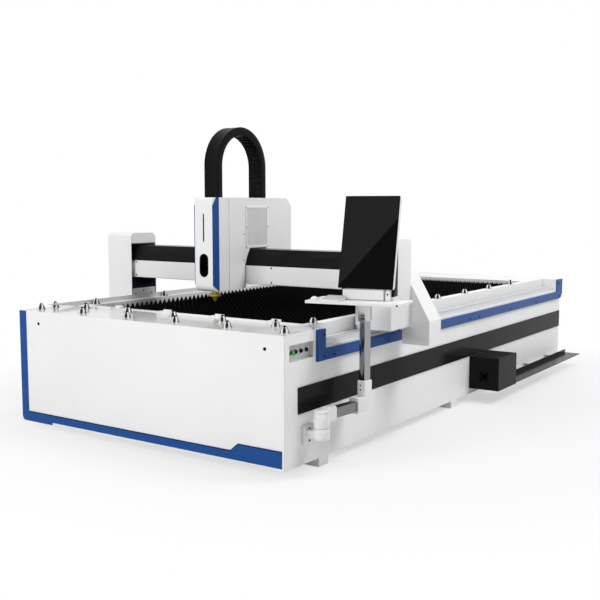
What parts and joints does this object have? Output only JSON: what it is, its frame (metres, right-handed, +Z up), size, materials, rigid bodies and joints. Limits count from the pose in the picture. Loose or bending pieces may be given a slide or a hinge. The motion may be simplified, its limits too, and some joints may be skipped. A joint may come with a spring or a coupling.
{
  "type": "fiber laser cutting machine",
  "caption": "Open flatbed fiber laser cutting machine with a slat table, moving gantry, cutting head on a carriage, cable chain arch and a swing-arm operator console.",
  "frame": {"origin": "on the floor, under the middle of the whole machine's box", "axes": "+X across the bed to the console side, +Y along the bed from the front panel to the rear, +Z up"},
  "size_m": [2.5534, 4.264, 1.866],
  "materials": {
    "white_paint": "smooth white powder coat",
    "blue_paint": "blue powder coat",
    "black_paint": "satin black powder coat",
    "navy_paint": "dark navy paint",
    "grey_paint": "light grey paint",
    "dark_steel": "dark cut steel",
    "machined_steel": "ground steel",
    "chrome": "polished chrome",
    "aluminium": "anodised aluminium",
    "brass": "turned brass",
    "black_plastic": "black plastic",
    "green_plastic": "green push button",
    "white_plastic": "white plastic",
    "screen_glass": "dark glossy screen"
  },
  "bodies": {
    "bed": {"front_cabinet": "white_paint", "front_panel": "white_paint", "front_trim": "blue_paint", "rear_cabinet": "white_paint", "side_beams": "white_paint", "bed_walls": "white_paint", "slat_frame": "grey_paint", "side_bands": "black_paint", "side_trims": "blue_paint", "feet": "white_paint", "slats": "dark_steel", "scrap_tray": "grey_paint", "ball_cups": "chrome", "transfer_balls": "dark_steel", "sheet_clamps": "white_paint", "y_rails": "machined_steel", "y_racks": "machined_steel", "rail_guard": "grey_paint", "button_plate": "grey_paint", "chain_box": "black_paint", "chain_trough": "black_paint", "arm_base": "white_paint"},
    "main_switch": {"main_switch": "black_plastic"},
    "start_button": {"start_button": "green_plastic"},
    "stop_button": {"stop_button": "black_plastic"},
    "feed_button": {"feed_button": "black_plastic"},
    "reset_button": {"reset_button": "black_plastic"},
    "gantry": {"saddles": "machined_steel", "rail_blocks": "machined_steel", "end_risers": "navy_paint", "beam": "white_paint", "beam_plate": "white_paint", "beam_hood": "black_paint", "end_covers": "white_paint", "cable_arm": "white_paint", "y_motors": "black_paint", "x_rails": "machined_steel", "x_rack": "machined_steel"},
    "y_pinions": {"y_pinions": "machined_steel"},
    "carriage": {"carriage_frame": "aluminium", "carriage_guides": "machined_steel", "carriage_cover": "white_paint", "front_hood": "white_paint", "hood_trims": "blue_paint", "side_vents": "white_paint", "cable_chain": "black_plastic", "carriage_motors": "black_paint"},
    "x_pinion": {"x_pinion": "machined_steel"},
    "head": {"lift_plate": "aluminium", "cutting_head": "aluminium", "nozzle": "brass"},
    "console": {"arm_knuckle": "white_paint", "arm_tubes": "aluminium", "arm_elbow": "white_paint", "mast_head": "aluminium", "tray": "white_paint", "monitor_base": "white_paint", "keypad_and_mouse": "white_plastic"},
    "monitor": {"monitor_case": "white_plastic", "screen": "screen_glass"}
  },
  "joints": [
    {"name": "gantry_travel", "type": "slide", "parent": "bed", "child": "gantry", "axis": [0, 1, 0], "range_m": [-0.09, 2.95]},
    {"name": "carriage_travel", "type": "slide", "parent": "gantry", "child": "carriage", "axis": [1, 0, 0], "range_m": [-0.75, 0.75]},
    {"name": "head_lift", "type": "slide", "parent": "carriage", "child": "head", "axis": [0, 0, 1], "range_m": [-0.055, 0.045]},
    {"name": "y_pinion_spin", "type": "hinge", "parent": "gantry", "child": "y_pinions", "pos_m": [-0.14969, -1.139, 0.70315], "axis": [1, 0, 0], "range_deg": [-4700, 150]},
    {"name": "x_pinion_spin", "type": "hinge", "parent": "carriage", "child": "x_pinion", "pos_m": [-0.14969, -1.026, 1.00015], "axis": [0, 1, 0], "range_deg": [-1200, 1200]},
    {"name": "console_swing", "type": "hinge", "parent": "bed", "child": "console", "pos_m": [0.94031, -1.923, 0.248], "axis": [0, 0, 1], "range_deg": [-150, 0]},
    {"name": "monitor_tilt", "type": "hinge", "parent": "console", "child": "monitor", "pos_m": [1.0114, -1.56135, 0.99], "axis": [-0.9848, -0.1736, 0], "range_deg": [0, 12]},
    {"name": "main_switch_turn", "type": "hinge", "parent": "bed", "child": "main_switch", "pos_m": [0.82531, -2.066, 0.643], "axis": [1, 0, 0], "range_deg": [0, 90]},
    {"name": "start_press", "type": "slide", "parent": "bed", "child": "start_button", "axis": [-1, 0, 0], "range_m": [0, 0.004], "stiffness_N_per_m": 400},
    {"name": "stop_press", "type": "slide", "parent": "bed", "child": "stop_button", "axis": [-1, 0, 0], "range_m": [0, 0.004], "stiffness_N_per_m": 400},
    {"name": "feed_press", "type": "slide", "parent": "bed", "child": "feed_button", "axis": [-1, 0, 0], "range_m": [0, 0.004], "stiffness_N_per_m": 400},
    {"name": "reset_press", "type": "slide", "parent": "bed", "child": "reset_button", "axis": [-1, 0, 0], "range_m": [0, 0.004], "stiffness_N_per_m": 400}
  ],
  "couplings": [
    {"joint": "y_pinion_spin", "follows": "gantry_travel", "rad_per_m": -27.778},
    {"joint": "x_pinion_spin", "follows": "carriage_travel", "rad_per_m": 27.778}
  ]
}
